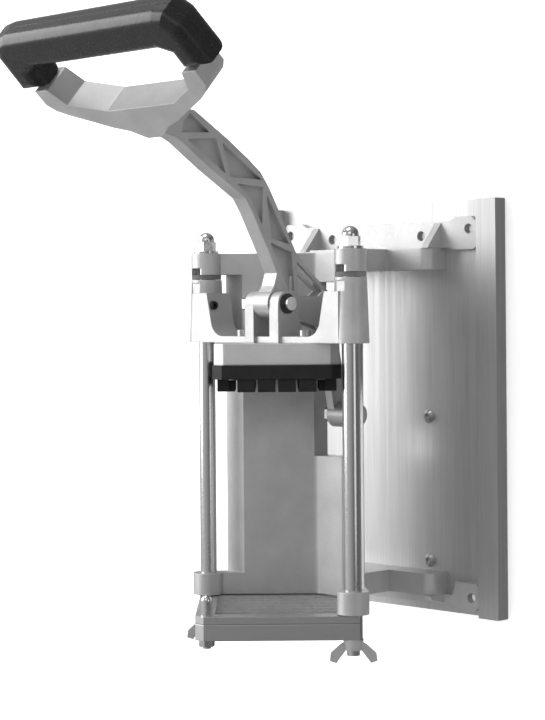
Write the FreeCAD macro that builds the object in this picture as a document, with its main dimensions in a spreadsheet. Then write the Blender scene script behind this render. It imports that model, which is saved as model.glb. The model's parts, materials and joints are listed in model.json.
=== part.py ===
import FreeCAD, Part
import math
import os
import Sketcher

# Wall-mounted lever dicer.
# Millimetres, +X right when facing the wall, +Y toward the wall, +Z up.
# The wall is the plane Y = 0; Z = 0 is halfway between the two rows of wall screws.

doc = FreeCAD.newDocument("Dicer")
sheet = doc.addObject("Spreadsheet::Sheet", "Sizes")
sheet_row = [0]


class Size:
    """A number that also knows the expression it came from."""

    def __init__(self, value, text):
        self.value = float(value)
        self.text = text

    def __add__(self, other):
        other = as_size(other)
        return Size(self.value + other.value, "(" + self.text + " + " + other.text + ")")

    def __radd__(self, other):
        return as_size(other) + self

    def __sub__(self, other):
        other = as_size(other)
        return Size(self.value - other.value, "(" + self.text + " - " + other.text + ")")

    def __rsub__(self, other):
        return as_size(other) - self

    def __mul__(self, other):
        other = as_size(other)
        return Size(self.value * other.value, "(" + self.text + " * " + other.text + ")")

    def __rmul__(self, other):
        return as_size(other) * self

    def __truediv__(self, other):
        other = as_size(other)
        return Size(self.value / other.value, "(" + self.text + " / " + other.text + ")")

    def __neg__(self):
        return Size(-self.value, "(0 - " + self.text + ")")


def as_size(number):
    if isinstance(number, Size):
        return number
    return Size(number, "(" + repr(float(number)) + ")")


def size(alias, value):
    """Put one plain number in the sheet and return it as a Size."""
    sheet_row[0] += 1
    cell = "B" + str(sheet_row[0])
    sheet.set("A" + str(sheet_row[0]), alias)
    sheet.set(cell, str(value))
    sheet.setAlias(cell, alias)
    return Size(value, "Sizes." + alias)


# ---------------------------------------------------------------- sizes
rod_to_wall = size("rod_to_wall", 150)
rod_half_spacing = size("rod_half_spacing", 97)
rod_diameter = size("rod_diameter", 16)
slide_clearance = size("slide_clearance", 0.05)
loose_clearance = size("loose_clearance", 0.3)

panel_half_width = size("panel_half_width", 159)
panel_top = size("panel_top", 206)
panel_bottom = size("panel_bottom", -195)
panel_sheet = size("panel_sheet", 1.5)
panel_strip_width = size("panel_strip_width", 24)
panel_strip_height = size("panel_strip_height", 15)
rivet_half_spacing = size("rivet_half_spacing", 63)
rivet_upper_level = size("rivet_upper_level", -5)
rivet_lower_level = size("rivet_lower_level", -147)

wall_hole_half_width = size("wall_hole_half_width", 120)
wall_hole_half_height = size("wall_hole_half_height", 178)
wall_hole_diameter = size("wall_hole_diameter", 9.5)
inner_hole_half_width = size("inner_hole_half_width", 60)
inner_hole_level = size("inner_hole_level", 172.5)

flange_thickness = size("flange_thickness", 6)
flange_half_width = size("flange_half_width", 132)
flange_level = size("flange_level", 186)
crossbar_half_width = size("crossbar_half_width", 86)
crossbar_depth = size("crossbar_depth", 27)
rib_thickness = size("rib_thickness", 8)

upper_yoke_bottom = size("upper_yoke_bottom", 136)
yoke_height = size("yoke_height", 21)
lower_yoke_top = size("lower_yoke_top", -158)
fixed_boss_radius = size("fixed_boss_radius", 15)
column_inner_offset = size("column_inner_offset", 90)
column_outer_offset = size("column_outer_offset", 113.5)
column_rim_depth = size("column_rim_depth", 21.5)
column_web_front = size("column_web_front", 72)
column_web_rear = size("column_web_rear", 90)
window_half_width = size("window_half_width", 19)
window_bottom = size("window_bottom", -43)
window_top = size("window_top", 128)

carriage_bottom = size("carriage_bottom", 70)
carriage_wall_top = size("carriage_wall_top", 118)
carriage_boss_top = size("carriage_boss_top", 131)
carriage_front = size("carriage_front", 17)
carriage_back = size("carriage_back", 14)
carriage_floor = size("carriage_floor", 6)
boss_top_radius = size("boss_top_radius", 15)
boss_bottom_radius = size("boss_bottom_radius", 17)
bush_wall = size("bush_wall", 2)
bumper_thickness = size("bumper_thickness", 4.6)

ear_inner = size("ear_inner", 10.6)
ear_outer = size("ear_outer", 22.5)
ear_radius = size("ear_radius", 12)
lever_pivot_forward = size("lever_pivot_forward", 8)
lever_pivot_level = size("lever_pivot_level", 107)
pivot_bolt_diameter = size("pivot_bolt_diameter", 10)
lever_thickness = size("lever_thickness", 20)
beam_thickness = size("beam_thickness", 17)
set_screw_radius = size("set_screw_radius", 4.2)
set_screw_forward = size("set_screw_forward", 10.5)
lever_hub_radius = size("lever_hub_radius", 13.5)
web_thickness = size("web_thickness", 6)

link_top_back = size("link_top_back", 67)
link_top_level = size("link_top_level", 92)
link_foot_back = size("link_foot_back", 86)
link_foot_level = size("link_foot_level", -2)
link_thickness = size("link_thickness", 9)
link_eye_radius = size("link_eye_radius", 12.5)
link_bolt_diameter = size("link_bolt_diameter", 10)
fork_gap = size("fork_gap", 11)

handle_tilt = size("handle_tilt", 42)
neck_forward = size("neck_forward", 140)
neck_level = size("neck_level", 262)
grip_reach = size("grip_reach", 115)
grip_half_length = size("grip_half_length", 121)
grip_radius = size("grip_radius", 19)
shell_start = size("shell_start", 72)
grip_core_radius = size("grip_core_radius", 8)
yoke_thickness = size("yoke_thickness", 32)

finger_pitch = size("finger_pitch", 19.05)
finger_width = size("finger_width", 16.4)
finger_length = size("finger_length", 12)
pusher_half_side = size("pusher_half_side", 60)
pusher_chamfer = size("pusher_chamfer", 9)
pusher_plate_thickness = size("pusher_plate_thickness", 13)
pusher_block_height = size("pusher_block_height", 20)

screw_spread = size("screw_spread", 40)
block_bolt_spread = size("block_bolt_spread", 42)
notch_half_width = size("notch_half_width", 6.5)
notch_depth = size("notch_depth", 50)
rear_flat = size("rear_flat", 69.5)

blade_frame_half_side = size("blade_frame_half_side", 77)
blade_frame_corner = size("blade_frame_corner", 3)
blade_frame_front_corner = size("blade_frame_front_corner", 8)
frame_edge = size("frame_edge", 0.7)
blade_opening_half_side = size("blade_opening_half_side", 59)
blade_frame_gap = size("blade_frame_gap", 1)
upper_frame_thickness = size("upper_frame_thickness", 7)
lower_frame_thickness = size("lower_frame_thickness", 15)
blade_thickness = size("blade_thickness", 0.8)
blade_height = size("blade_height", 6.5)
corner_stud_offset = size("corner_stud_offset", 94)
corner_stud_diameter = size("corner_stud_diameter", 8)
rod_end_diameter = size("rod_end_diameter", 12)

rod_line = -rod_to_wall
parts_out = []


# ---------------------------------------------------------------- helpers
def bind(thing, path, number):
    number = as_size(number)
    thing.setExpression(path, number.text)


def place(thing, x, y, z):
    bind(thing, "Placement.Base.x", x)
    bind(thing, "Placement.Base.y", y)
    bind(thing, "Placement.Base.z", z)


def box(name, x_low, y_low, z_low, x_size, y_size, z_size):
    item = doc.addObject("Part::Box", name)
    bind(item, "Length", x_size)
    bind(item, "Width", y_size)
    bind(item, "Height", z_size)
    place(item, x_low, y_low, z_low)
    return item


def turned(item, axis):
    """Aim a cylinder or cone along +X, +Y or +Z."""
    if axis == "X":
        item.Placement.Rotation = FreeCAD.Rotation(FreeCAD.Vector(0, 1, 0), 90)
    if axis == "Y":
        item.Placement.Rotation = FreeCAD.Rotation(FreeCAD.Vector(1, 0, 0), -90)
    return item


def rod(name, axis, x, y, z, radius, length):
    item = doc.addObject("Part::Cylinder", name)
    bind(item, "Radius", radius)
    bind(item, "Height", length)
    turned(item, axis)
    place(item, x, y, z)
    return item


def cone(name, axis, x, y, z, first_radius, second_radius, length):
    item = doc.addObject("Part::Cone", name)
    bind(item, "Radius1", first_radius)
    bind(item, "Radius2", second_radius)
    bind(item, "Height", length)
    turned(item, axis)
    place(item, x, y, z)
    return item


def ring(name, axis, x, y, z, outer_radius, inner_radius, length):
    outer = rod(name + "_outer", axis, x, y, z, outer_radius, length)
    inner = rod(name + "_inner", axis, x, y, z, inner_radius, length)
    return cut(name, outer, [inner])


def fuse(name, items):
    joined = doc.addObject("Part::MultiFuse", name)
    joined.Shapes = items
    joined.Refine = True
    return joined


def cut(name, base, tools):
    tool = tools[0]
    if len(tools) > 1:
        tool = doc.addObject("Part::MultiFuse", name + "_tools")
        tool.Shapes = tools
    result = doc.addObject("Part::Cut", name)
    result.Base = base
    result.Tool = tool
    result.Refine = True
    return result


def group(name, items):
    together = doc.addObject("Part::Compound", name)
    together.Links = items
    return together


def sketch_on(body, role, offset):
    drawing = body.newObject("Sketcher::SketchObject", body.Name + "_sketch")
    for feature in body.Origin.OriginFeatures:
        if feature.Role == role:
            drawing.AttachmentSupport = [(feature, "")]
    drawing.MapMode = "FlatFace"
    bind(drawing, "AttachmentOffset.Base.z", offset)
    return drawing


def outline(drawing, points):
    """Closed chain of straight lines with each corner tied to its own sizes."""
    points = [(as_size(x), as_size(y)) for x, y in points]
    first = drawing.GeometryCount
    count = len(points)
    for index in range(count):
        start = points[index]
        end = points[(index + 1) % count]
        drawing.addGeometry(Part.LineSegment(
            FreeCAD.Vector(start[0].value, start[1].value, 0),
            FreeCAD.Vector(end[0].value, end[1].value, 0)), False)
    for index in range(count):
        following = first + (index + 1) % count
        drawing.addConstraint(Sketcher.Constraint("Coincident", first + index, 2, following, 1))
    for index in range(count):
        x, y = points[index]
        across = drawing.addConstraint(
            Sketcher.Constraint("DistanceX", -1, 1, first + index, 1, x.value))
        drawing.setExpression("Constraints[" + str(across) + "]", x.text)
        along = drawing.addConstraint(
            Sketcher.Constraint("DistanceY", -1, 1, first + index, 1, y.value))
        drawing.setExpression("Constraints[" + str(along) + "]", y.text)


def round_hole(drawing, x, y, radius):
    x, y, radius = as_size(x), as_size(y), as_size(radius)
    index = drawing.addGeometry(Part.Circle(
        FreeCAD.Vector(x.value, y.value, 0), FreeCAD.Vector(0, 0, 1), radius.value), False)
    limits = (("Radius", (index,), radius), ("DistanceX", (-1, 1, index, 3), x),
              ("DistanceY", (-1, 1, index, 3), y))
    for kind, where, number in limits:
        spot = drawing.addConstraint(Sketcher.Constraint(kind, *where, number.value))
        drawing.setExpression("Constraints[" + str(spot) + "]", number.text)


def padded(name, role, offset, length, points, holes=()):
    """A body padded from one outline; holes are (x, y, radius)."""
    body = doc.addObject("PartDesign::Body", name)
    drawing = sketch_on(body, role, offset)
    outline(drawing, points)
    for x, y, radius in holes:
        round_hole(drawing, x, y, radius)
    pad = body.newObject("PartDesign::Pad", name + "_pad")
    pad.Profile = drawing
    bind(pad, "Length", length)
    body.Tip = pad
    return body


def rounded(body, radius, chosen):
    """Fillet the edges of the body's tip that the test picks."""
    doc.recompute()
    tip = body.Tip
    names = []
    for index, edge in enumerate(tip.Shape.Edges):
        if chosen(edge):
            names.append("Edge" + str(index + 1))
    fillet = body.newObject("PartDesign::Fillet", body.Name + "_fillet")
    fillet.Base = (tip, names)
    bind(fillet, "Radius", radius)
    body.Tip = fillet
    return body


def runs_along(edge, axis):
    """True for a straight edge along X, Y or Z."""
    if len(edge.Vertexes) != 2 or edge.Curve.TypeId != "Part::GeomLine":
        return False
    way = edge.Vertexes[1].Point.sub(edge.Vertexes[0].Point)
    way.normalize()
    return abs(abs(getattr(way, axis)) - 1) < 1e-6


def middle(edge):
    return edge.BoundBox.Center


def hand_in(label, thing):
    thing.Label = label
    parts_out.append(thing)
    return thing


def mirrored_x(points):
    """Add the mirror image of an open chain that starts and ends off the X = 0 line."""
    return points + [(-x, y) for x, y in reversed(points)]


def back(distance):
    """Y of a plane this far behind the guide rods."""
    return rod_line + distance


# ---------------------------------------------------------------- wall panel
def make_wall_panel():
    inner = panel_half_width - panel_strip_width
    front = -panel_strip_height
    half = [
        (inner, -panel_sheet),
        (inner, front),
        (panel_half_width, front),
        (panel_half_width, 0),
        (panel_half_width - panel_sheet, 0),
        (panel_half_width - panel_sheet, front + panel_sheet),
        (inner + panel_sheet, front + panel_sheet),
        (inner + panel_sheet, 0),
    ]
    sheet_body = padded("panel_sheet_body", "XY_Plane", panel_bottom,
                        panel_top - panel_bottom, mirrored_x(half))
    holes = []
    for side in (-1, 1):
        for level in (-1, 1):
            holes.append(rod("panel_hole", "Y", side * wall_hole_half_width, -panel_strip_height,
                             level * wall_hole_half_height, wall_hole_diameter / 2, 30))
        holes.append(rod("panel_inner_hole", "Y", side * inner_hole_half_width,
                         -panel_strip_height, inner_hole_level, wall_hole_diameter / 2, 30))
        for level in (rivet_upper_level, rivet_lower_level):
            holes.append(rod("panel_rivet_hole", "Y", side * rivet_half_spacing,
                             -panel_strip_height, level, 3 + loose_clearance, 30))
    hand_in("wall_panel", cut("wall_panel", sheet_body, holes))


def make_panel_rivets():
    rivets = []
    for side in (-1, 1):
        for level in (rivet_upper_level, rivet_lower_level):
            x = side * rivet_half_spacing
            shank = rod("rivet_shank", "Y", x, -panel_sheet, level, 3, panel_sheet)
            head = cone("rivet_head", "Y", x, -panel_sheet - 3, level, 4, 6.5, 3)
            bore = rod("rivet_bore", "Y", x, -panel_sheet - 4, level, 2, 3.4)
            rivets.append(cut("rivet", fuse("rivet_solid", [shank, head]), [bore]))
    hand_in("panel_rivets", group("panel_rivets", rivets))


# ---------------------------------------------------------------- wall brackets
def make_bracket(label, upward):
    """Flange with two screw feet and two ribs, above or below its crossbar."""
    seat = upper_yoke_bottom + yoke_height + 3
    if not upward:
        seat = lower_yoke_top - yoke_height + 2
    way = 1 if upward else -1
    edge = way * flange_level if upward else -flange_level - 1
    foot_edge = edge + way * 4
    foot_seat = seat - (2 if upward else -13)
    inner_foot = crossbar_half_width + 18
    half = [
        (crossbar_half_width, seat),
        (inner_foot - 8, seat),
        (inner_foot - 4, foot_seat),
        (flange_half_width - 6, foot_seat),
        (flange_half_width, foot_seat + way * 6),
        (flange_half_width, foot_edge - way * 8),
        (flange_half_width - 8, foot_edge),
        (inner_foot, foot_edge),
        (inner_foot - 8, edge),
    ]
    flange = padded(label + "_flange", "XZ_Plane", panel_sheet, flange_thickness,
                    mirrored_x(half))
    pieces = [flange]
    for side in (-1, 1):
        rib = padded(label + "_rib" + ("_a" if side < 0 else "_b"), "YZ_Plane",
                     side * (crossbar_half_width - rib_thickness / 2) - rib_thickness / 2,
                     rib_thickness,
                     [(-panel_sheet - flange_thickness, seat),
                      (-panel_sheet - crossbar_depth, seat),
                      (-panel_sheet - crossbar_depth + 3, seat + way * 4),
                      (-panel_sheet - flange_thickness, edge - way * 1)])
        pieces.append(rib)
    solid = fuse(label + "_solid", pieces)
    holes = []
    for side in (-1, 1):
        holes.append(rod(label + "_hole", "Y", side * wall_hole_half_width, -40,
                         way * wall_hole_half_height, wall_hole_diameter / 2, 60))
        if upward:
            holes.append(rod(label + "_inner", "Y", side * inner_hole_half_width, -40,
                             inner_hole_level, wall_hole_diameter / 2, 60))
    hand_in(label, cut(label, solid, holes))


# ---------------------------------------------------------------- frame casting
def make_frame():
    column_half = [
        (column_inner_offset - column_web_front, back(column_web_front)),
        (column_inner_offset - column_rim_depth, back(column_rim_depth)),
        (column_outer_offset - column_rim_depth, back(column_rim_depth)),
        (column_outer_offset - column_web_rear, back(column_web_rear)),
    ]
    lower_yoke_bottom = lower_yoke_top - yoke_height
    upper_yoke_top = upper_yoke_bottom + yoke_height
    column = padded("column", "XY_Plane", lower_yoke_bottom,
                    upper_yoke_top - lower_yoke_bottom, mirrored_x(column_half))
    rounded(column, 7, lambda edge: runs_along(edge, "z")
            and abs(middle(edge).y - back(column_web_front).value) < 1)
    pieces = [column]
    for name, level in (("upper", upper_yoke_bottom), ("lower", lower_yoke_bottom)):
        for side in (-1, 1):
            arm = padded(name + "_arm" + ("_a" if side < 0 else "_b"), "XY_Plane",
                         level, yoke_height,
                         [(side * (rod_half_spacing - 9), back(2)),
                          (side * (column_inner_offset - column_rim_depth), back(column_rim_depth)),
                          (side * (column_inner_offset - column_rim_depth), back(column_rim_depth + 6)),
                          (side * (column_outer_offset - column_rim_depth), back(column_rim_depth + 2)),
                          (side * (rod_half_spacing + 11), back(8)),
                          (side * (rod_half_spacing + 4), back(-6))])
            boss = rod(name + "_boss", "Z", side * rod_half_spacing, rod_line, level,
                       fixed_boss_radius, yoke_height)
            pieces += [arm, boss]
        shelf = level + 3 if name == "upper" else level + 2
        neck = box(name + "_neck", -34, back(column_web_rear - 8), shelf,
                   68, rod_to_wall - column_web_rear + 8 - panel_sheet - crossbar_depth + 2,
                   yoke_height)
        bar = padded(name + "_crossbar", "XY_Plane", shelf, yoke_height,
                     mirrored_x([(crossbar_half_width, -panel_sheet),
                                 (crossbar_half_width, -panel_sheet - crossbar_depth)]))
        rounded(bar, 10, lambda edge: runs_along(edge, "z")
                and middle(edge).y < -crossbar_depth.value)
        pieces += [neck, bar]
    solid = fuse("frame_solid", pieces)
    tools = [box("window", -window_half_width, back(50), window_bottom,
                 2 * window_half_width, 60, window_top - window_bottom)]
    for side in (-1, 1):
        tools.append(rod("frame_rod_bore", "Z", side * rod_half_spacing, rod_line,
                         lower_yoke_bottom - 5, rod_diameter / 2 + slide_clearance,
                         upper_yoke_top - lower_yoke_bottom + 10))
        tools.append(box("boss_notch", side * rod_half_spacing - 6.5, rod_line - 20,
                         upper_yoke_bottom, 13, 13, 6.5))
    tools.append(rod("link_bolt_bore", "X", 0, back(link_foot_back), link_foot_level,
                     link_bolt_diameter / 2 + slide_clearance, 60))
    lug_face = window_half_width + 4.5
    tools.append(rod("spot_face", "X", lug_face, back(link_foot_back), link_foot_level, 14, 60))
    hand_in("frame_casting", cut("frame_casting", solid, tools))


# ---------------------------------------------------------------- guide rods and their nuts
def make_rods():
    lower_end = lower_yoke_top - yoke_height
    upper_end = upper_yoke_bottom + yoke_height
    frame_bottom = lower_end - blade_frame_gap - upper_frame_thickness - lower_frame_thickness
    stud_end = frame_bottom - 15
    for side, word in ((-1, "left"), (1, "right")):
        x = side * rod_half_spacing
        shaft = rod("rod_shaft", "Z", x, rod_line, lower_end, rod_diameter / 2,
                    upper_end - lower_end)
        top = rod("rod_top", "Z", x, rod_line, upper_end, 5, 13)
        foot = rod("rod_foot", "Z", x, rod_line, stud_end, rod_end_diameter / 2,
                   lower_end - stud_end)
        hand_in("guide_rod_" + word, fuse("guide_rod_" + word, [shaft, top, foot]))
        washer = ring("rod_washer_" + word, "Z", x, rod_line, upper_end, 12, 5.3, 2.5)
        hand_in("rod_washer_" + word, washer)
        hexagon = doc.addObject("Part::Prism", "acorn_hexagon")
        hexagon.Polygon = 6
        bind(hexagon, "Circumradius", 9.8)
        bind(hexagon, "Height", 9)
        place(hexagon, x, rod_line, upper_end + 2.5)
        dome = doc.addObject("Part::Sphere", "acorn_dome")
        bind(dome, "Radius", 8)
        place(dome, x, rod_line, upper_end + 13)
        bore = rod("acorn_bore", "Z", x, rod_line, upper_end + 2, 5 + slide_clearance, 13)
        nut = cut("acorn_nut_" + word, fuse("acorn_solid", [hexagon, dome]), [bore])
        hand_in("acorn_nut_" + word, nut)


def make_bumpers():
    rings = []
    for side in (-1, 1):
        rings.append(ring("bumper", "Z", side * rod_half_spacing, rod_line,
                          upper_yoke_bottom - bumper_thickness, fixed_boss_radius - 0.5,
                          rod_diameter / 2 + loose_clearance, bumper_thickness))
    hand_in("upper_bumpers", group("upper_bumpers", rings))


# ---------------------------------------------------------------- carriage
def make_carriage():
    floor_top = carriage_bottom + carriage_floor
    depth = carriage_front + carriage_back
    mouth = rod_half_spacing - boss_top_radius - 3
    half = [
        (mouth - 9, floor_top),
        (mouth, carriage_wall_top),
        (rod_half_spacing, carriage_wall_top),
        (rod_half_spacing, carriage_bottom),
    ]
    trough = padded("carriage_trough", "XZ_Plane", back(carriage_back) * -1, depth,
                    mirrored_x(half))
    rounded(trough, 16, lambda edge: runs_along(edge, "y")
            and abs(middle(edge).z - floor_top.value) < 0.1)
    pieces = [trough]
    pivot_y = back(-lever_pivot_forward)
    for side in (-1, 1):
        pieces.append(cone("carriage_boss", "Z", side * rod_half_spacing, rod_line,
                           carriage_bottom, boss_bottom_radius, boss_top_radius,
                           carriage_boss_top - carriage_bottom))
        start = ear_inner if side > 0 else -ear_outer
        ear = padded("ear" + ("_a" if side < 0 else "_b"), "YZ_Plane", start,
                     ear_outer - ear_inner,
                     [(pivot_y - ear_radius, carriage_bottom),
                      (pivot_y - ear_radius, lever_pivot_level),
                      (pivot_y + ear_radius, lever_pivot_level),
                      (back(carriage_back), floor_top),
                      (back(carriage_back), carriage_bottom)])
        crown = rod("ear_crown", "X", start, pivot_y, lever_pivot_level, ear_radius,
                    ear_outer - ear_inner)
        pieces += [ear, crown]
    solid = fuse("carriage_solid", pieces)
    tools = [rod("ear_bore", "X", -60, pivot_y, lever_pivot_level,
                 pivot_bolt_diameter / 2 + slide_clearance, 120)]
    for side in (-1, 1):
        tools.append(rod("bush_bore", "Z", side * rod_half_spacing, rod_line, carriage_bottom - 5,
                         rod_diameter / 2 + bush_wall + loose_clearance,
                         carriage_boss_top - carriage_bottom + 10))
        tools.append(box("boss_recess", side * rod_half_spacing - 6, rod_line - 20,
                         carriage_wall_top, 11, 6.5, 10))
        tools.append(rod("floor_bolt_bore", "Z", side * block_bolt_spread, back(-4),
                         carriage_bottom - 2, 3 + loose_clearance, 12))
        tools.append(rod("set_screw_bore", "X", side * (rod_half_spacing - 22) - 8,
                         rod_line - set_screw_forward, carriage_wall_top - 12,
                         set_screw_radius + slide_clearance, 16))
    hand_in("carriage", cut("carriage", solid, tools))
    bushes = []
    screws = []
    for side in (-1, 1):
        for level in (carriage_bottom, carriage_boss_top - 14):
            bushes.append(ring("bush", "Z", side * rod_half_spacing, rod_line, level,
                               rod_diameter / 2 + bush_wall,
                               rod_diameter / 2 + slide_clearance, 14))
        screw = rod("set_screw", "X", side * (rod_half_spacing - 18.5) - 4.5,
                    rod_line - set_screw_forward, carriage_wall_top - 12, set_screw_radius, 9)
        socket_start = side * (rod_half_spacing - 23) - 3
        socket = hex_along_x("set_screw_socket", socket_start, rod_line - set_screw_forward,
                             carriage_wall_top - 12, 2.3, 6)
        screws.append(cut("socket_screw", screw, [socket]))
    hand_in("guide_bushes", group("guide_bushes", bushes))
    hand_in("bush_screws", group("bush_screws", screws))


def make_pivot_bolt():
    pivot_y = back(-lever_pivot_forward)
    shank = rod("pivot_shank", "X", -ear_outer - 9, pivot_y, lever_pivot_level,
                pivot_bolt_diameter / 2, 2 * ear_outer + 10.5)
    head = rod("pivot_head", "X", ear_outer + 1.5, pivot_y, lever_pivot_level, 6.6, 5)
    hand_in("pivot_bolt", fuse("pivot_bolt", [shank, head]))
    washers = []
    for start in (ear_outer, -ear_outer - 1.5):
        washers.append(ring("pivot_washer", "X", start, pivot_y, lever_pivot_level, 9.5,
                            pivot_bolt_diameter / 2 + loose_clearance, 1.5))
    hand_in("pivot_washers", group("pivot_washers", washers))
    nut = hex_along_x("pivot_nut_hexagon", -ear_outer - 1.5 - 7, pivot_y, lever_pivot_level, 8.7, 7)
    bore = rod("pivot_nut_bore", "X", -ear_outer - 20, pivot_y, lever_pivot_level,
               pivot_bolt_diameter / 2 + slide_clearance, 40)
    hand_in("pivot_nut", cut("pivot_nut", nut, [bore]))


def hex_along_x(name, x, y, z, circumradius, length):
    item = doc.addObject("Part::Prism", name)
    item.Polygon = 6
    bind(item, "Circumradius", circumradius)
    bind(item, "Height", length)
    turned(item, "X")
    place(item, x, y, z)
    return item


# ---------------------------------------------------------------- lever
def make_lever():
    half_thickness = lever_thickness / 2
    pivot_y = back(-lever_pivot_forward)
    pin_y = back(link_top_back)
    neck_y = back(-neck_forward)
    beam = [
        (pivot_y - 13, lever_pivot_level + 4),
        (pivot_y - 3, lever_pivot_level + 17),
        (back(-7), lever_pivot_level + 29),
        (back(-18), lever_pivot_level + 50),
        (back(-39), lever_pivot_level + 86),
        (back(-48), lever_pivot_level + 99),
        (back(-93), lever_pivot_level + 125),
        (back(-129), lever_pivot_level + 148),
        (back(-137), lever_pivot_level + 151.5),
        (neck_y - 17, neck_level + 1),
        (neck_y - 30, neck_level + 13),
        (neck_y - 9, neck_level + 36),
        (neck_y + 8, neck_level + 24),
        (back(-112), lever_pivot_level + 177),
        (back(-69), lever_pivot_level + 152),
        (back(-43), lever_pivot_level + 135),
        (back(-28), lever_pivot_level + 124),
        (back(-17), lever_pivot_level + 110),
        (back(-3), lever_pivot_level + 87),
        (back(18), lever_pivot_level + 50),
        (back(28), lever_pivot_level + 40),
        (back(62), lever_pivot_level + 13),
        (pin_y + 7, link_top_level + 11),
        (pin_y + 3, link_top_level - 13),
        (pivot_y + 10, lever_pivot_level - 10),
    ]
    plate = padded("lever_plate", "YZ_Plane", -beam_thickness / 2, beam_thickness, beam)
    hub = rod("lever_hub", "X", -half_thickness, pivot_y, lever_pivot_level, lever_hub_radius,
              lever_thickness)
    tail = rod("lever_tail", "X", -half_thickness, pin_y, link_top_level, 13, lever_thickness)
    # Truss pockets on both faces leave rims, cross ribs and a middle web.
    pockets = [
        [(back(-128), lever_pivot_level + 156), (back(-93), lever_pivot_level + 158),
         (back(-117), lever_pivot_level + 174), (back(-126), lever_pivot_level + 166)],
        [(back(-121), lever_pivot_level + 150), (back(-77), lever_pivot_level + 123),
         (back(-73), lever_pivot_level + 121), (back(-85), lever_pivot_level + 153)],
        [(back(-68), lever_pivot_level + 118), (back(-26), lever_pivot_level + 117),
         (back(-77), lever_pivot_level + 149)],
        [(back(-58), lever_pivot_level + 112), (back(-42), lever_pivot_level + 100),
         (back(-26), lever_pivot_level + 74), (back(-24), lever_pivot_level + 110)],
        [(back(-14), lever_pivot_level + 62), (back(10), lever_pivot_level + 57),
         (back(-20), lever_pivot_level + 103)],
        [(back(-15), lever_pivot_level + 58), (back(-1), lever_pivot_level + 29),
         (back(9), lever_pivot_level + 12), (back(17), lever_pivot_level + 12),
         (back(13), lever_pivot_level + 49)],
        [(back(21), lever_pivot_level + 8), (back(50), lever_pivot_level + 7),
         (back(57), lever_pivot_level + 12), (back(20), lever_pivot_level + 40)],
    ]
    tools = []
    for index, pocket in enumerate(pockets):
        for side, word in ((-1, "a"), (1, "b")):
            start = web_thickness / 2 if side > 0 else -half_thickness - 1
            tools.append(padded("truss_pocket_" + str(index) + word, "YZ_Plane", start,
                                half_thickness + 1 - web_thickness / 2, pocket))
    tools.append(rod("lever_bore", "X", -60, pivot_y, lever_pivot_level,
                     pivot_bolt_diameter / 2 + slide_clearance, 120))
    tools.append(rod("lever_pin_bore", "X", -60, pin_y, link_top_level,
                     link_bolt_diameter / 2 + loose_clearance, 120))
    tools.append(padded("fork_slot", "YZ_Plane", -fork_gap / 2, fork_gap,
                        [(pivot_y + 22, lever_pivot_level + 12),
                         (pivot_y + 30, lever_pivot_level - 50),
                         (pin_y + 60, lever_pivot_level - 50),
                         (pin_y + 60, lever_pivot_level + 60),
                         (pivot_y + 42, lever_pivot_level + 60),
                         (pivot_y + 24, lever_pivot_level + 34)]))
    # Handle yoke: lies in its own tilted plane, x across and y away from the neck.
    yoke_half = [
        (10, 2),
        (25, 12),
        (45, 19),
        (62, 27),
        (90, 39.5),
        (101, 46),
        (108, 54),
        (108, shell_start - 1.5),
        (grip_half_length - 3, shell_start + 2),
        (grip_half_length - 8, grip_reach + 8),
        (grip_half_length - 24, grip_reach + 8),
        (grip_half_length - 23, shell_start),
        (91, shell_start - 1.5),
    ]
    opening_floor = [(84, 52), (54, 38.5), (-35, 38.5), (-80, 51)]
    yoke_points = yoke_half + opening_floor + [(-x, y) for x, y in reversed(yoke_half)]
    loop = padded("handle_yoke", "XY_Plane", -yoke_thickness / 2, yoke_thickness, yoke_points)
    loop.Placement.Rotation = FreeCAD.Rotation(FreeCAD.Vector(1, 0, 0), 138)
    bind(loop, "Placement.Rotation.Angle", 180 - handle_tilt)
    place(loop, 0, neck_y, neck_level + 6)
    core = rod("grip_core", "X", -grip_half_length + 16, 0, 0, grip_core_radius,
               2 * grip_half_length - 32)
    bind(core, "Placement.Base.y",
         Size(0, neck_y.text + " - " + grip_reach.text + " * cos(" + handle_tilt.text + " * 1 deg)"))
    bind(core, "Placement.Base.z",
         Size(0, neck_level.text + " + 6 + " + grip_reach.text
              + " * sin(" + handle_tilt.text + " * 1 deg)"))
    beam_solid = cut("lever_beam", fuse("lever_beam_solid", [plate, hub, tail]), tools)
    # The arms are thinned where the plastic grip wraps them.
    trims = []
    for low, word in ((-yoke_thickness / 2 - 1, "a"), (grip_core_radius, "b")):
        trim = padded("arm_trim_" + word, "XY_Plane", low,
                      yoke_thickness / 2 + 1 - grip_core_radius,
                      mirrored_x([(grip_half_length + 20, shell_start - 1),
                                  (grip_half_length + 20, grip_reach + 45)]))
        trim.Placement.Rotation = FreeCAD.Rotation(FreeCAD.Vector(1, 0, 0), 138)
        bind(trim, "Placement.Rotation.Angle", 180 - handle_tilt)
        place(trim, 0, neck_y, neck_level + 6)
        trims.append(trim)
    handle_solid = cut("handle_solid", loop, trims)
    hand_in("lever", fuse("lever", [beam_solid, handle_solid, core]))


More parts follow.
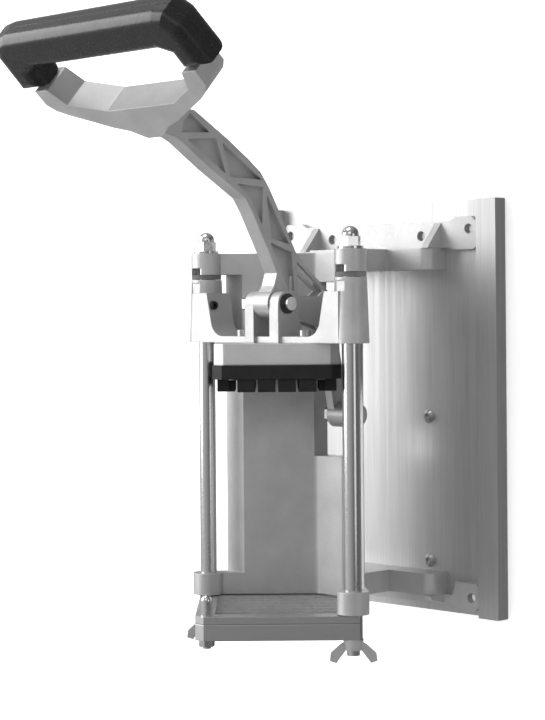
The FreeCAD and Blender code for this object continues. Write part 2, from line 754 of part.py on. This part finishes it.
def make_grips():
    """Two moulded shells that wrap the handle bar and its arms."""
    neck_y = back(-neck_forward)
    outer_half = [
        (grip_half_length + 5, shell_start),
        (grip_half_length + 3, grip_reach + 2),
        (grip_half_length - 7, grip_reach + grip_radius - 2),
        (grip_half_length - 20, grip_reach + grip_radius),
    ]
    inner_half = [
        (grip_half_length - 38, grip_reach - grip_radius),
        (grip_half_length - 27, grip_reach - grip_radius - 6),
        (grip_half_length - 27, shell_start),
    ]
    points = outer_half + [(-x, y) for x, y in reversed(outer_half)]
    points += [(-x, y) for x, y in reversed(inner_half)] + inner_half
    for word, low in (("front", loose_clearance / 3), ("rear", -grip_radius + 1)):
        shell = padded("grip_" + word + "_shell", "XY_Plane", low,
                       grip_radius - 1 - loose_clearance / 3, points)
        sign = 1 if word == "front" else -1
        rounded(shell, 12, lambda edge: outer_face_edge(edge, sign))
        pocket_half = [
            (grip_half_length + 0.6, 60),
            (grip_half_length - 7.4, grip_reach + 8.6),
            (grip_half_length - 24.6, grip_reach + 8.6),
            (grip_half_length - 24, 60),
        ]
        pocket = []
        for side in (-1, 1):
            pocket.append(padded("grip_pocket_" + word + ("_a" if side < 0 else "_b"), "XY_Plane",
                                 -grip_core_radius - loose_clearance,
                                 2 * (grip_core_radius + loose_clearance),
                                 [(side * x, y) for x, y in pocket_half]))
        pocket.append(rod("grip_channel_" + word, "X", -grip_half_length + 10, grip_reach, 0,
                          grip_core_radius + loose_clearance, 2 * grip_half_length - 20))
        finished = cut("grip_shell_" + word, shell, pocket)
        finished.Placement.Rotation = FreeCAD.Rotation(FreeCAD.Vector(1, 0, 0), 138)
        bind(finished, "Placement.Rotation.Angle", 180 - handle_tilt)
        place(finished, 0, neck_y, neck_level + 6)
        hand_in("grip_shell_" + word, finished)


def outer_face_edge(edge, sign):
    """Edges round the outside face of a grip shell, in the shell's own frame."""
    bound = edge.BoundBox
    if bound.ZLength > 0.01:
        return False
    if sign > 0:
        return bound.ZMin > 5
    return bound.ZMin < -5


# ---------------------------------------------------------------- link
def make_link():
    top_y = back(link_top_back)
    foot_y = back(link_foot_back)
    slim = link_eye_radius - 2.5
    shank = padded("link_shank", "YZ_Plane", -link_thickness / 2, link_thickness,
                   [(top_y - slim, link_top_level),
                    (foot_y - slim, link_foot_level),
                    (foot_y + slim, link_foot_level),
                    (top_y + slim, link_top_level)])
    top_eye = rod("link_top_eye", "X", -link_thickness / 2, top_y, link_top_level,
                  link_eye_radius, link_thickness)
    foot_eye = rod("link_foot_eye", "X", -link_thickness / 2, foot_y, link_foot_level,
                   link_eye_radius, link_thickness / 2 + window_half_width - loose_clearance)
    solid = fuse("link_solid", [shank, top_eye, foot_eye])
    bores = [rod("link_top_bore", "X", -60, top_y, link_top_level,
                 link_bolt_diameter / 2 + loose_clearance, 120),
             rod("link_foot_bore", "X", -60, foot_y, link_foot_level,
                 link_bolt_diameter / 2 + slide_clearance, 120)]
    hand_in("link", cut("link", solid, bores))
    lug_face = window_half_width + 4.5
    nut_face = -link_thickness / 2 - loose_clearance
    shank = rod("link_bolt_shank", "X", nut_face - 8, foot_y, link_foot_level,
                link_bolt_diameter / 2, lug_face - nut_face + 8)
    head = rod("link_bolt_head", "X", lug_face, foot_y, link_foot_level, 10.5, 5)
    hand_in("link_bolt", fuse("link_bolt", [shank, head]))
    nut = hex_along_x("link_nut_hexagon", nut_face - 7, foot_y, link_foot_level, 9.2, 7)
    bore = rod("link_nut_bore", "X", -60, foot_y, link_foot_level,
               link_bolt_diameter / 2 + slide_clearance, 120)
    hand_in("link_nut", cut("link_nut", nut, [bore]))
    # The pin at the open pivot is held in the lever's cheeks and stops short of the link.
    pins = []
    half_thickness = lever_thickness / 2
    for start in (fork_gap / 2, -half_thickness - 0.4):
        pins.append(rod("link_pin_end", "X", start, top_y, link_top_level,
                        link_bolt_diameter / 2, half_thickness + 0.4 - fork_gap / 2))
    hand_in("link_pin_ends", group("link_pin_ends", pins))


# ---------------------------------------------------------------- pusher
def chamfered_square(half_side, chamfer, front=None):
    """A square with cut corners; its front and rear corners may be cut by their own amount."""
    other = front or chamfer
    return [
        (half_side - chamfer, -half_side), (half_side, chamfer - half_side),
        (half_side, half_side - other), (half_side - other, half_side),
        (chamfer - half_side, half_side), (-half_side, half_side - chamfer),
        (-half_side, other - half_side), (other - half_side, -half_side)]


def diamond(item):
    """Turn a square item 45 degrees about the machine's own axis."""
    item.Placement.Rotation = FreeCAD.Rotation(FreeCAD.Vector(0, 0, 1), 45)
    place(item, 0, rod_line, 0)
    return item


def make_pusher():
    block_bottom = carriage_bottom - pusher_block_height
    plate_bottom = block_bottom - pusher_plate_thickness
    # Corner screws; the rear one sits further in, ahead of the notch that clears the link.
    corner = screw_spread
    rear = screw_spread - 12
    screw_spots = [(corner, -corner), (-corner, corner), (-corner, -corner), (rear, rear)]
    block = padded("block_pad", "XY_Plane", block_bottom, pusher_block_height,
                   chamfered_square(pusher_half_side - 1.5, pusher_chamfer),
                   [(across, along, 3.3) for across, along in screw_spots])
    rounded(block, 3, lambda edge: runs_along(edge, "z") and edge.BoundBox.ZLength > 5
            and abs(middle(edge).x) + abs(middle(edge).y) > 80)
    block_tools = [box("block_rear_cut", -40, back(rear_flat), plate_bottom - 20, 80, 40, 70),
                   box("block_notch", -notch_half_width, back(notch_depth), plate_bottom - 20,
                       2 * notch_half_width, 60, 70)]
    for side in (-1, 1):
        block_tools.append(rod("block_bolt_bore", "Z", side * block_bolt_spread, back(-4),
                               block_bottom - 2, 3 + loose_clearance, pusher_block_height + 4))
    hand_in("pusher_block", cut("pusher_block", diamond(block), block_tools))
    plate = padded("finger_plate_pad", "XY_Plane", plate_bottom, pusher_plate_thickness,
                   chamfered_square(pusher_half_side, pusher_chamfer),
                   [(across, along, 3.3) for across, along in screw_spots])
    fingers = []
    for column in range(6):
        for row in range(6):
            if column in (0, 5) and row in (0, 5):
                continue
            fingers.append(box("finger",
                               finger_pitch * (column - 2.5) - finger_width / 2,
                               finger_pitch * (row - 2.5) - finger_width / 2,
                               plate_bottom - finger_length,
                               finger_width, finger_width, finger_length + 1))
    screw_wells = []
    for across, along in screw_spots:
        screw_wells.append(rod("screw_well", "Z", across, along,
                               plate_bottom - finger_length - 1, 3.3,
                               pusher_plate_thickness + finger_length + 2))
        screw_wells.append(rod("screw_head_well", "Z", across, along,
                               plate_bottom - finger_length - 1, 5.8, finger_length + 5))
    plate_solid = fuse("finger_plate_solid", [plate] + fingers)
    plate_notch = box("plate_notch", -notch_half_width, back(notch_depth), plate_bottom - 20,
                      2 * notch_half_width, 60, 70)
    plate_rear = box("plate_rear_cut", -40, back(rear_flat), plate_bottom - 20, 80, 40, 70)
    plate_cut = diamond(cut("plate_cut", plate_solid, screw_wells))
    hand_in("finger_plate", cut("finger_plate", plate_cut, [plate_rear, plate_notch]))
    screws = []
    for across, along in screw_spots:
        shank = rod("pusher_screw_shank", "Z", across, along,
                    plate_bottom + 4, 3, pusher_plate_thickness + pusher_block_height - 6)
        head = rod("pusher_screw_head", "Z", across, along, plate_bottom - 1, 5.3, 5)
        screws.append(fuse("pusher_screw", [shank, head]))
    hand_in("pusher_screws", diamond(group("pusher_screws", screws)))
    bolts = []
    for side in (-1, 1):
        shank = rod("block_bolt_shank", "Z", side * block_bolt_spread, back(-4),
                    carriage_bottom - 14, 3, 22)
        head = rod("block_bolt_head", "Z", side * block_bolt_spread, back(-4),
                   carriage_bottom + carriage_floor, 5.5, 6)
        bolts.append(fuse("block_bolt", [shank, head]))
    hand_in("block_bolts", group("block_bolts", bolts))


# ---------------------------------------------------------------- blade cartridge
def make_blades():
    top = lower_yoke_top - yoke_height - blade_frame_gap
    split = top - upper_frame_thickness
    bottom = split - lower_frame_thickness
    stud_hole = rod_end_diameter / 2 + loose_clearance
    small_hole = corner_stud_diameter / 2 + loose_clearance
    rod_spot = rod_half_spacing / math.sqrt(2)
    stud_spot = corner_stud_offset / math.sqrt(2)
    corner_holes = [(rod_spot, -rod_spot, stud_hole), (-rod_spot, rod_spot, stud_hole),
                    (-stud_spot, -stud_spot, small_hole), (stud_spot, stud_spot, small_hole)]
    opening = 2 * blade_opening_half_side
    reach = blade_opening_half_side + 9
    blade_sets = []
    slot_tools = {"upper": [], "lower": []}
    for word, low in (("upper", split), ("lower", split - blade_height - 0.6)):
        strips = []
        for index in range(-3, 4):
            middle_line = finger_pitch * index
            if word == "upper":
                strip = box("blade", -reach, middle_line - blade_thickness / 2, low,
                            2 * reach, blade_thickness, blade_height)
                slot = box("slot", -reach - 0.5, middle_line - blade_thickness / 2 - 0.3, low - 1,
                           2 * reach + 1, blade_thickness + 0.6, upper_frame_thickness + 2)
            else:
                strip = box("blade", middle_line - blade_thickness / 2, -reach, low,
                            blade_thickness, 2 * reach, blade_height)
                slot = box("slot", middle_line - blade_thickness / 2 - 0.3, -reach - 0.5, low,
                           blade_thickness + 0.6, 2 * reach + 1, blade_height + 1)
            strips.append(strip)
            slot_tools[word].append(slot)
        blade_sets.append((word, strips))
    for word, level, thickness in (("upper", split, upper_frame_thickness),
                                   ("lower", bottom, lower_frame_thickness)):
        plate = padded(word + "_plate", "XY_Plane", level, thickness,
                       chamfered_square(blade_frame_half_side, blade_frame_corner,
                                        blade_frame_front_corner),
                       corner_holes)
        split_level = level if word == "upper" else level + thickness
        rounded(plate, frame_edge, lambda edge: edge.BoundBox.ZLength < 0.01
                and abs(middle(edge).z - split_level.value) < 0.1
                and edge.BoundBox.DiagonalLength > 4
                and abs(middle(edge).x) + abs(middle(edge).y) > 60)
        hole = box(word + "_opening", -blade_opening_half_side, -blade_opening_half_side,
                   level - 1, opening, opening, thickness + 2)
        frame = cut("blade_frame_" + word, plate, [hole] + slot_tools[word])
        hand_in("blade_frame_" + word, diamond(frame))
    for word, strips in blade_sets:
        hand_in("blades_" + word, diamond(group("blades_" + word, strips)))
    studs = []
    nuts = []
    for side in (-1, 1):
        y = rod_line + side * corner_stud_offset
        shank = rod("corner_stud_shank", "Z", 0, y, bottom - 8, corner_stud_diameter / 2,
                    top - bottom + 8)
        if side < 0:
            # Only the front corner has a tall finger post; the rear one sits under the frame.
            post = rod("corner_stud_post", "Z", 0, y, top, corner_stud_diameter / 2 + 1.5, 14)
            cap = doc.addObject("Part::Sphere", "corner_stud_cap")
            bind(cap, "Radius", corner_stud_diameter / 2 + 1.5)
            place(cap, 0, y, top + 14)
            studs.append(fuse("corner_stud", [shank, post, cap]))
        else:
            studs.append(shank)
        hexagon = doc.addObject("Part::Prism", "corner_nut_hexagon")
        hexagon.Polygon = 6
        bind(hexagon, "Circumradius", 7.5)
        bind(hexagon, "Height", 6)
        place(hexagon, 0, y, bottom - 6)
        bore = rod("corner_nut_bore", "Z", 0, y, bottom - 10,
                   corner_stud_diameter / 2 + slide_clearance, 20)
        nuts.append(cut("corner_nut", hexagon, [bore]))
    hand_in("corner_studs", group("corner_studs", studs))
    hand_in("corner_nuts", group("corner_nuts", nuts))
    for side, word in ((-1, "left"), (1, "right")):
        hub = cone("wing_hub", "Z", 0, 0, bottom - 10, 8.2, 9.5, 10)
        pieces = [hub]
        for wing_side in (-1, 1):
            pieces.append(padded("wing_" + word + ("_a" if wing_side < 0 else "_b"), "XZ_Plane",
                                 -2, 4,
                                 [(wing_side * 7, bottom - 2),
                                  (wing_side * 12, bottom - 5),
                                  (wing_side * 21, bottom - 13),
                                  (wing_side * 22, bottom - 20),
                                  (wing_side * 16, bottom - 22),
                                  (wing_side * 7, bottom - 10)]))
        solid = fuse("wing_nut_solid_" + word, pieces)
        bore = rod("wing_bore", "Z", 0, 0, bottom - 30,
                   rod_end_diameter / 2 + slide_clearance, 40)
        wing_nut = cut("wing_nut_" + word, solid, [bore])
        wing_nut.Placement.Rotation = FreeCAD.Rotation(FreeCAD.Vector(0, 0, 1), 45)
        place(wing_nut, side * rod_half_spacing, rod_line, 0)
        hand_in("wing_nut_" + word, wing_nut)


make_wall_panel()
make_panel_rivets()
make_bracket("upper_bracket", True)
make_bracket("lower_bracket", False)
make_frame()
make_rods()
make_bumpers()
make_carriage()
make_pivot_bolt()
make_lever()
make_grips()
make_link()
make_pusher()
make_blades()
doc.recompute()

# ---------------------------------------------------------------- checks and export
for thing in doc.Objects:
    if "Invalid" in thing.State or "Error" in thing.State:
        raise RuntimeError("object in error: " + thing.Name)
os.makedirs("parts", exist_ok=True)
for thing in parts_out:
    shape = thing.Shape
    if shape.isNull() or not shape.isValid():
        raise RuntimeError("bad shape: " + thing.Label)
    print(thing.Label, len(shape.Solids), round(shape.Volume), [round(v, 1) for v in (
        shape.BoundBox.XMin, shape.BoundBox.XMax, shape.BoundBox.YMin,
        shape.BoundBox.YMax, shape.BoundBox.ZMin, shape.BoundBox.ZMax)])
    shape.exportStep("parts/" + thing.Label + ".step")
print("nodes", len(parts_out))
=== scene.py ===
import json
import math

import bpy
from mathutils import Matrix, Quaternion, Vector

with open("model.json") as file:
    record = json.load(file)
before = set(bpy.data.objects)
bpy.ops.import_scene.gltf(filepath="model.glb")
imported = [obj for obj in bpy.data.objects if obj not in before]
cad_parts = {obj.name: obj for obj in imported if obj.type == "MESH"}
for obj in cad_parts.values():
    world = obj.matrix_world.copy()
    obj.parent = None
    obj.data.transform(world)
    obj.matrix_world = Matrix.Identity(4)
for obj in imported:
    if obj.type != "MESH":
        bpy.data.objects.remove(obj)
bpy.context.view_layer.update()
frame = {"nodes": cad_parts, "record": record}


# ---------------------------------------------------------------- shader helpers

SOCKETS = {
    "metallic": "Metallic",
    "roughness": "Roughness",
    "specular": "Specular IOR Level",
    "coat": "Coat Weight",
    "coat_roughness": "Coat Roughness",
    "colour": "Base Color",
    "glow": "Emission Color",
    "glow_strength": "Emission Strength",
}
WHITE = (1, 1, 1, 1)
NOISE_LOW = 0.3
NOISE_HIGH = 0.7


def new_material(name, **values):
    """A Principled material with its constant values on the shader's own sockets."""
    material = bpy.data.materials.new(name)
    material.use_nodes = True
    shader = material.node_tree.nodes["Principled BSDF"]
    for key, value in values.items():
        shader.inputs[SOCKETS[key]].default_value = value
    return material, material.node_tree, shader


def node(tree, kind, **inputs):
    made = tree.nodes.new(kind)
    for key, value in inputs.items():
        made.inputs[key].default_value = value
    return made


def noise(tree, scale, detail, stretch=(1, 1, 1), roughness=0.55):
    """Noise with scale features to the object's own metre, stretched along the axes given."""
    place = node(tree, "ShaderNodeTexCoord")
    mapping = node(tree, "ShaderNodeMapping", Scale=stretch)
    tree.links.new(place.outputs["Object"], mapping.inputs["Vector"])
    made = node(tree, "ShaderNodeTexNoise", Scale=scale, Detail=detail, Roughness=roughness)
    tree.links.new(mapping.outputs["Vector"], made.inputs["Vector"])
    return made.outputs["Fac"]


def spread(tree, value, low, high, start=NOISE_LOW, end=NOISE_HIGH):
    """A value's range from start to end, carried to low...high."""
    made = node(tree, "ShaderNodeMapRange")
    made.inputs["From Min"].default_value = start
    made.inputs["From Max"].default_value = end
    made.inputs["To Min"].default_value = low
    made.inputs["To Max"].default_value = high
    tree.links.new(value, made.inputs["Value"])
    return made.outputs["Result"]


def grey_tint(tree, value, dark, light):
    """A grey that runs from dark to light with a noise value."""
    ramp = node(tree, "ShaderNodeValToRGB")
    first, last = ramp.color_ramp.elements
    first.position = NOISE_LOW
    first.color = (dark, dark, dark, 1)
    last.position = NOISE_HIGH
    last.color = (light, light, light, 1)
    tree.links.new(value, ramp.inputs["Fac"])
    return ramp.outputs["Color"]


def soft_edges(tree, radius):
    """The small rounding of a worked edge, as a normal."""
    made = node(tree, "ShaderNodeBevel", Radius=radius)
    made.samples = 4
    return made.outputs["Normal"]


def bumps(tree, shader, edge, layers):
    """Height layers (value, depth in metres, strength) over edges rounded by edge metres."""
    normal = soft_edges(tree, edge)
    for value, depth, strength in layers:
        made = node(tree, "ShaderNodeBump", Distance=depth, Strength=strength)
        tree.links.new(value, made.inputs["Height"])
        tree.links.new(normal, made.inputs["Normal"])
        normal = made.outputs["Normal"]
    tree.links.new(normal, shader.inputs["Normal"])


# ---------------------------------------------------------------- finishes

def cast_metal(name, dark, light, rough, edge):
    """Tumbled aluminium casting: a fine grain, cloudy tone and rubbed edges."""
    material, tree, shader = new_material(name, metallic=0.72)
    cloud = noise(tree, scale=28, detail=5)
    fine_sand = noise(tree, scale=1500, detail=3)
    sand = noise(tree, scale=420, detail=4)
    tree.links.new(grey_tint(tree, cloud, dark, light), shader.inputs["Base Color"])
    tree.links.new(spread(tree, sand, rough - 0.07, rough + 0.07), shader.inputs["Roughness"])
    bumps(tree, shader, edge, [(sand, 0.00035, 0.45), (fine_sand, 0.00015, 0.6)])
    return material


def brushed_metal(name, dark, light, rough, stretch, edge, cloud_scale=9, metallic=1.0):
    """Sheet or bar with brushing along one axis, and broad clouds in its roughness."""
    material, tree, shader = new_material(name, metallic=metallic)
    streak = noise(tree, scale=1400, detail=4, stretch=stretch, roughness=0.7)
    wide_streak = noise(tree, scale=260, detail=3, stretch=stretch, roughness=0.5)
    cloud = noise(tree, scale=cloud_scale, detail=2)
    tree.links.new(grey_tint(tree, streak, dark, light), shader.inputs["Base Color"])
    clouded = node(tree, "ShaderNodeMath")
    clouded.operation = "MULTIPLY_ADD"
    cloud_share = clouded.inputs[1]
    cloud_share.default_value = 0.12
    tree.links.new(cloud, clouded.inputs[0])
    tree.links.new(spread(tree, wide_streak, rough - 0.1, rough + 0.02), clouded.inputs[2])
    tree.links.new(clouded.outputs[0], shader.inputs["Roughness"])
    bumps(tree, shader, edge, [(wide_streak, 0.0001, 0.10), (streak, 0.00005, 0.2)])
    return material


def plated_metal(name, level, rough, edge):
    """Turned and plated hardware with faint handling marks."""
    material, tree, shader = new_material(name, metallic=1.0)
    mark = noise(tree, scale=300, detail=5)
    skin = noise(tree, scale=2500, detail=2)
    tree.links.new(grey_tint(tree, mark, level * 0.86, level), shader.inputs["Base Color"])
    tree.links.new(spread(tree, mark, rough, rough + 0.1), shader.inputs["Roughness"])
    bumps(tree, shader, edge, [(skin, 0.00002, 0.2)])
    return material


def moulded(name, level, rough, edge, texture, coat=0.0, specular=0.5):
    """Moulded plastic or rubber, with texture as the strength of its fine grain."""
    material, tree, shader = new_material(name, coat=coat, coat_roughness=0.06, specular=specular)
    cloud = noise(tree, scale=60, detail=4)
    smear = noise(tree, scale=180, detail=5)
    grain = noise(tree, scale=1800, detail=3)
    wave = noise(tree, scale=45, detail=2)
    tree.links.new(grey_tint(tree, cloud, level * 0.8, level * 1.25), shader.inputs["Base Color"])
    tree.links.new(spread(tree, smear, rough - 0.05, rough + 0.09), shader.inputs["Roughness"])
    bumps(tree, shader, edge, [(grain, 0.00012, texture), (wave, 0.0006, 0.05)])
    return material


ALONG_Z = (1, 1, 0.006)
ROUND_THE_ROD = (1, 1, 3)
ALONG_LEVEL = (1, 1, 12)

FINISHES = {
    "panel_steel": (brushed_metal, dict(dark=0.52, light=0.66, rough=0.45, edge=0.0006,
                                        stretch=ALONG_Z, metallic=0.9)),
    "cast_aluminium": (cast_metal, dict(dark=0.50, light=0.60, rough=0.46, edge=0.0012)),
    "block_aluminium": (cast_metal, dict(dark=0.60, light=0.70, rough=0.44, edge=0.0016)),
    "polished_rod": (brushed_metal, dict(dark=0.62, light=0.74, rough=0.16, edge=0.0005,
                                         stretch=ROUND_THE_ROD, cloud_scale=30)),
    "chrome_hardware": (plated_metal, dict(level=0.80, rough=0.08, edge=0.0005)),
    "zinc_hardware": (plated_metal, dict(level=0.55, rough=0.25, edge=0.0005)),
    "dark_screw": (plated_metal, dict(level=0.10, rough=0.30, edge=0.0003)),
    "bumper_rubber": (moulded, dict(level=0.13, rough=0.62, edge=0.0006, texture=0.3,
                                    specular=0.35)),
    "bush_bronze": (plated_metal, dict(level=0.32, rough=0.30, edge=0.0003)),
    "frame_plate": (brushed_metal, dict(dark=0.46, light=0.58, rough=0.40, edge=0.0008,
                                        stretch=ALONG_LEVEL, metallic=0.95)),
    "blade_steel": (plated_metal, dict(level=0.85, rough=0.34, edge=0.0001)),
    "finger_plastic": (moulded, dict(level=0.010, rough=0.50, edge=0.0007, texture=0.25,
                                     specular=0.4)),
    "grip_plastic": (moulded, dict(level=0.010, rough=0.26, edge=0.0022, texture=0.0,
                                   coat=0.30)),
}
LOOKS = {name: finish(name, **values) for name, (finish, values) in FINISHES.items()}

slots = {row["node"]: row["material_slot"] for row in frame["record"]["subparts"]}
for name, thing in frame["nodes"].items():
    thing.data.materials.clear()
    thing.data.materials.append(LOOKS[slots[name]])


# ---------------------------------------------------------------- wall and floor

WALL_FACE = 0.0006
WALL_TOP = 4
FLOOR = -0.75
FAR = 6.0

paint, _, _ = new_material("studio_wall", roughness=0.9, colour=(0.93, 0.93, 0.93, 1),
                           glow=WHITE, glow_strength=0.30)


def plane(name, corners):
    """A painted plane that polished metal doesn't mirror."""
    mesh = bpy.data.meshes.new(name)
    mesh.from_pydata(corners, [], [(0, 1, 2, 3)])
    made = bpy.data.objects.new(name, mesh)
    bpy.context.scene.collection.objects.link(made)
    mesh.materials.append(paint)
    made.visible_glossy = False


plane("studio_wall", [(-FAR, WALL_FACE, FLOOR), (FAR, WALL_FACE, FLOOR),
                      (FAR, WALL_FACE, WALL_TOP), (-FAR, WALL_FACE, WALL_TOP)])
plane("studio_floor", [(-FAR, -FAR, FLOOR), (FAR, -FAR, FLOOR),
                       (FAR, WALL_FACE, FLOOR), (-FAR, WALL_FACE, FLOOR)])


# ---------------------------------------------------------------- light

MIDDLE = (0, -0.15, 0.05)


def softbox(name, spot, size, power):
    """A square lamp of size metres and power watts, turned to the object's middle."""
    light = bpy.data.lights.new(name, "AREA")
    light.shape = "RECTANGLE"
    light.size = size
    light.size_y = size
    light.energy = power
    made = bpy.data.objects.new(name, light)
    made.location = spot
    made.rotation_mode = "QUATERNION"
    made.rotation_quaternion = (Vector(MIDDLE) - Vector(spot)).to_track_quat("-Z", "Y")
    bpy.context.scene.collection.objects.link(made)


softbox("key", (-2.0, -1.7, 0.9), size=2.3, power=54)
softbox("side", (2.4, -0.35, 0.1), size=1.0, power=3)
softbox("top", (-0.3, -0.7, 2.2), size=1.2, power=13)
softbox("fill", (1.5, -2.3, 1.1), size=1.3, power=5)


def studio_world():
    """White surroundings, brightest on the key light's side."""
    world = bpy.data.worlds.new("studio")
    bpy.context.scene.world = world
    world.use_nodes = True
    sky = world.node_tree
    background = sky.nodes["Background"]
    background.inputs["Color"].default_value = WHITE
    around = node(sky, "ShaderNodeTexCoord")
    toward_key = node(sky, "ShaderNodeVectorMath")
    toward_key.operation = "DOT_PRODUCT"
    toward_key.inputs[1].default_value = Vector((-0.65, -0.60, 0.45)).normalized()
    sky.links.new(around.outputs["Generated"], toward_key.inputs[0])
    brightness = spread(sky, toward_key.outputs["Value"], low=0.15, high=0.60, start=-0.4, end=0.9)
    sky.links.new(brightness, background.inputs["Strength"])


studio_world()

view = bpy.context.scene.view_settings
view.view_transform = "Standard"
view.look = "None"


# ---------------------------------------------------------------- camera

CAMERA_SPOT = (1.3292, -1.4842, 0.103)
CAMERA_AIM = (-1, 1, 0)
CAMERA_LEAN = math.radians(-0.45)
SENSOR_WIDTH = 36
LENS = 98.6
PICTURE_SHIFT = -0.07222

camera = bpy.data.objects.new("camera", bpy.data.cameras.new("camera"))
bpy.context.scene.collection.objects.link(camera)
bpy.context.scene.camera = camera
camera.location = CAMERA_SPOT
camera.rotation_mode = "QUATERNION"
level_aim = Vector(CAMERA_AIM).to_track_quat("-Z", "Y")
camera.rotation_quaternion = level_aim @ Quaternion((0, 0, 1), CAMERA_LEAN)
camera.data.sensor_width = SENSOR_WIDTH
camera.data.lens = LENS
camera.data.shift_y = PICTURE_SHIFT
